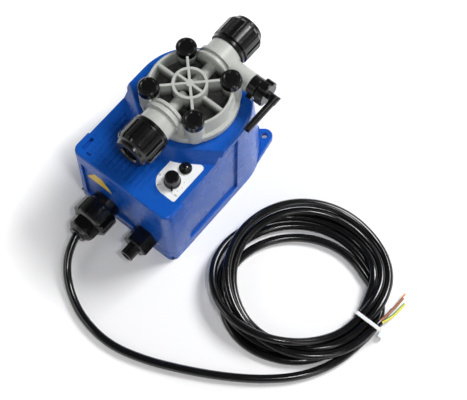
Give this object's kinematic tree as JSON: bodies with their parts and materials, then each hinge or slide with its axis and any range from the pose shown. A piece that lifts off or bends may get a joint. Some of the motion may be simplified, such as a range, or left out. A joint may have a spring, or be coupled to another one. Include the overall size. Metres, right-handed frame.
{
  "type": "diaphragm metering pump",
  "caption": "Compact solenoid-driven diaphragm metering pump in a blue wall housing, with a ribbed pump head, hose unions, bleed valve, stroke knob and coiled mains lead.",
  "frame": {"origin": "where the pump head's axis meets the wall, on the housing's flat back", "axes": "+Z out of the wall through the pump head, +Y up the wall from the suction union to the discharge union, +X to the right as seen from the front"},
  "size_m": [0.2789, 0.254, 0.1295],
  "materials": {
    "housing_blue": "royal blue moulded plastic, satin with a fine even grain",
    "head_grey": "warm light grey moulded plastic, satin",
    "plate_grey": "light grey moulded plastic",
    "black_gloss": "black moulded plastic, semi-gloss",
    "black_inner": "black glass-filled plastic",
    "label_white": "white polyester label, satin",
    "led_dark": "dark tinted clear plastic, glossy",
    "led_ring": "black gloss ring",
    "seal_rubber": "black moulded rubber",
    "valve_grey": "light grey acid-proof plastic",
    "ball_ceramic": "polished white ceramic",
    "diaphragm_white": "white PTFE face on rubber",
    "steel": "turned and plated steel",
    "bronze": "sintered bronze",
    "copper": "enamelled copper wire",
    "board_green": "green circuit board",
    "cord_black": "black flexible jacket, smooth with a soft sheen",
    "tie_white": "natural white nylon",
    "wire_brown": "brown insulation",
    "wire_blue": "blue insulation",
    "wire_green_yellow": "green and yellow striped insulation"
  },
  "bodies": {
    "housing": {"back_cover": "housing_blue", "bleed_valve_body": "black_gloss", "board_screws": "steel", "coil_bobbin": "black_inner", "coil_winding": "copper", "control_board": "board_green", "cord_coil": "cord_black", "cord_lead": "cord_black", "cord_tie": "tie_white", "cover_gasket": "seal_rubber", "cover_screws": "steel", "discharge_ball_cage": "valve_grey", "discharge_hose_nipple": "valve_grey", "discharge_seal": "seal_rubber", "discharge_union_nut": "black_gloss", "discharge_valve_seat": "valve_grey", "gland_body": "black_gloss", "gland_dome_nut": "black_gloss", "gland_fluted_nut": "black_gloss", "gland_locknut": "black_inner", "gland_seal": "seal_rubber", "guide_bush": "bronze", "head_backplate": "plate_grey", "head_screws": "steel", "housing_shell": "housing_blue", "label_plate": "label_white", "led_bezel": "led_ring", "led_lens": "led_dark", "pole_piece": "steel", "potentiometer": "black_inner", "pump_head": "head_grey", "screw_caps": "black_gloss", "signal_locknut": "black_inner", "signal_socket": "black_gloss", "signal_tube": "black_gloss", "solenoid_frame": "steel", "stroke_stop": "seal_rubber", "suction_ball_cage": "valve_grey", "suction_hose_nipple": "valve_grey", "suction_seal": "seal_rubber", "suction_union_nut": "black_gloss", "suction_valve_seat": "valve_grey", "wire_blue": "wire_blue", "wire_brown": "wire_brown", "wire_earth": "wire_green_yellow"},
    "plunger": {"armature": "steel", "plunger_shaft": "steel", "diaphragm_plate": "steel", "diaphragm": "diaphragm_white", "return_spring": "steel"},
    "suction_valve_ball": {"suction_ball": "ball_ceramic"},
    "discharge_valve_ball": {"discharge_ball": "ball_ceramic"},
    "stroke_knob": {"control_knob": "black_gloss", "knob_shaft": "steel"},
    "bleed_screw": {"bleed_knob": "black_gloss"},
    "bleed_outlet": {"bleed_elbow": "black_gloss"}
  },
  "joints": [
    {"name": "stroke", "type": "slide", "parent": "housing", "child": "plunger", "axis": [0, 0, 1], "range_m": [0, 0.0012], "stiffness_N_per_m": 3000, "deforming": ["return_spring", "diaphragm"]},
    {"name": "suction_ball_lift", "type": "slide", "parent": "housing", "child": "suction_valve_ball", "axis": [0, 1, 0], "range_m": [0, 0.0015]},
    {"name": "discharge_ball_lift", "type": "slide", "parent": "housing", "child": "discharge_valve_ball", "axis": [0, 1, 0], "range_m": [0, 0.0015]},
    {"name": "stroke_knob_turn", "type": "hinge", "parent": "housing", "child": "stroke_knob", "pos_m": [0.031, -0.0603, 0.085], "axis": [0, 0, 1], "range_deg": [0, 286]},
    {"name": "bleed_screw_turn", "type": "hinge", "parent": "housing", "child": "bleed_screw", "pos_m": [0.047, 0.035, 0.1125], "axis": [1, 0, 0], "range_deg": [0, 180]},
    {"name": "bleed_outlet_swivel", "type": "hinge", "parent": "bleed_screw", "child": "bleed_outlet", "pos_m": [0.0569, 0.035, 0.1125], "axis": [1, 0, 0], "continuous": true}
  ]
}
